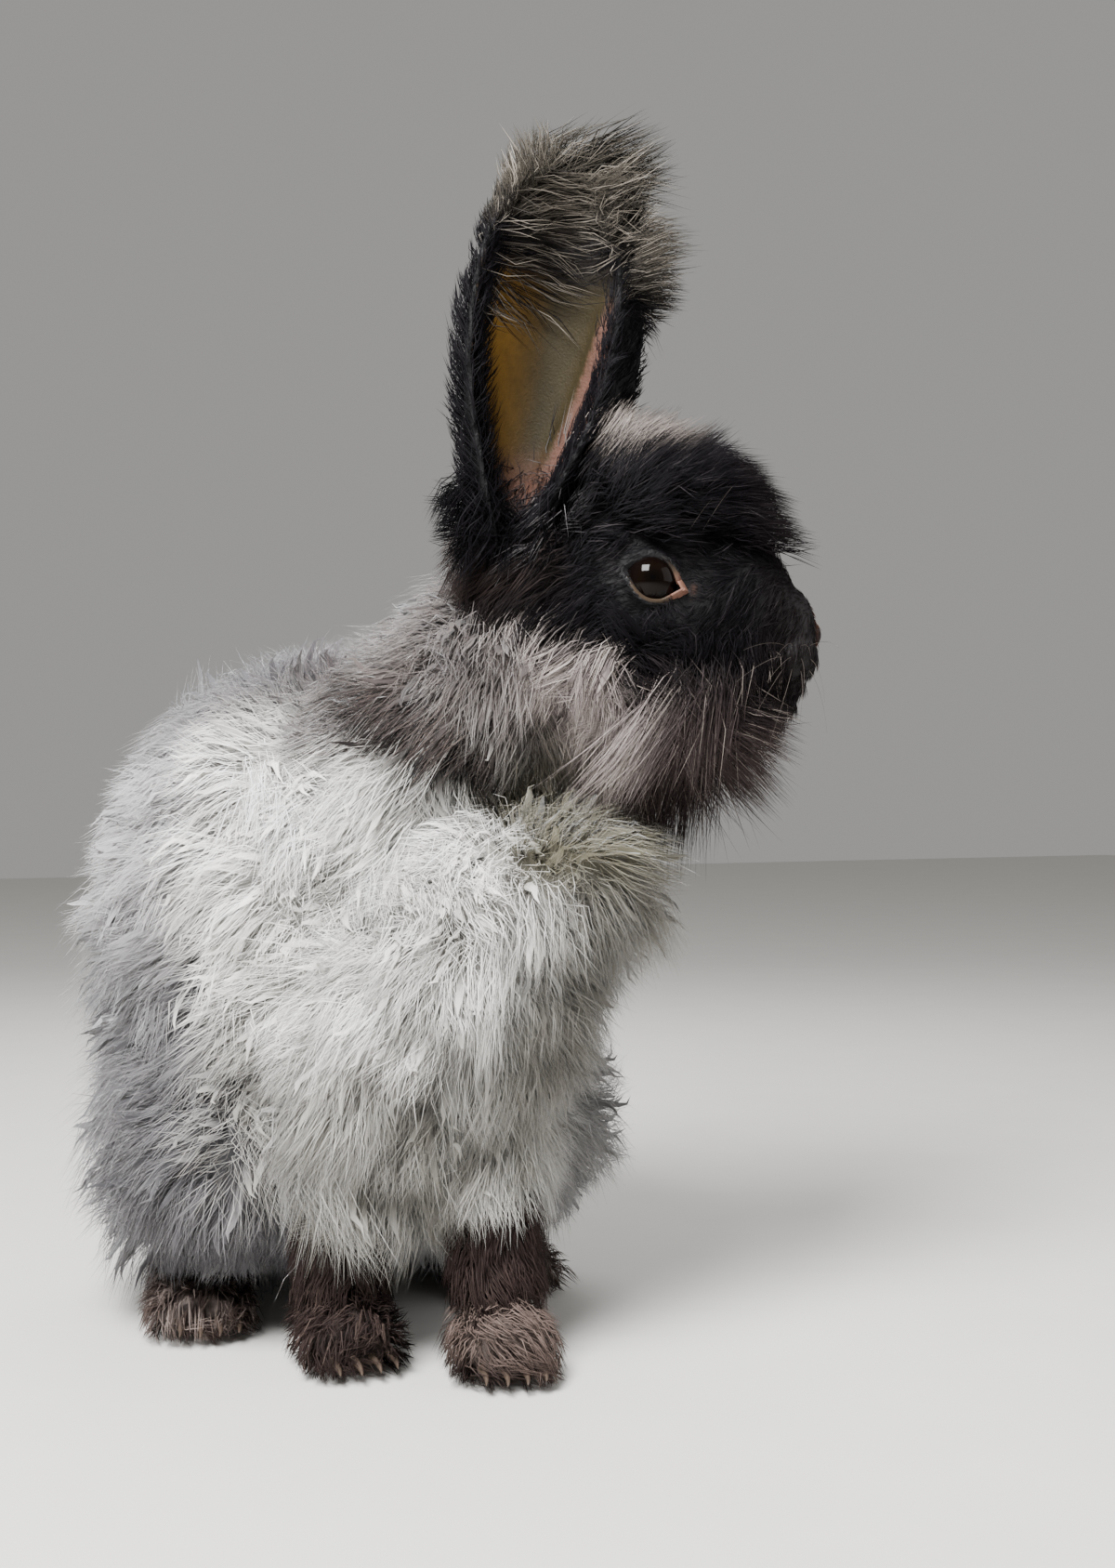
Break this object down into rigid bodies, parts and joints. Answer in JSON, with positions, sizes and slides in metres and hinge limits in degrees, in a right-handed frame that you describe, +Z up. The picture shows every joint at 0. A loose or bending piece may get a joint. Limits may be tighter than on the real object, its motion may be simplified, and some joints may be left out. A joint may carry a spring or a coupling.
{
  "type": "angora rabbit",
  "caption": "Long-woolled rabbit sitting upright with its head turned aside, pale body wool, dark face, ears and feet, upright tufted ears.",
  "frame": {"origin": "on the floor, in the middle of the model's box", "axes": "+Z up, the body faces -Y, +X is the rabbit's own left; its head is turned to its left"},
  "size_m": [0.206, 0.271, 0.3758],
  "materials": {
    "wool": "soft pale grey wool",
    "pale_wool": "soft cream white wool",
    "face": "short near-black fur",
    "ears": "dark furred skin",
    "legs": "short dark brown fur",
    "eyes": "wet dark brown eye"
  },
  "bodies": {
    "root": {"head": "face", "ear_right": "ears", "ear_left": "ears", "neck": "wool", "chest": "pale_wool", "torso": "wool", "tail": "wool", "haunch_right": "wool", "haunch_left": "wool", "eye_right": "eyes", "eye_left": "eyes", "hind_foot_right": "legs", "hind_foot_left": "legs", "forepaw_right": "legs", "forepaw_left": "legs", "foreleg_right": "legs", "foreleg_left": "legs"}
  },
  "joints": []
}
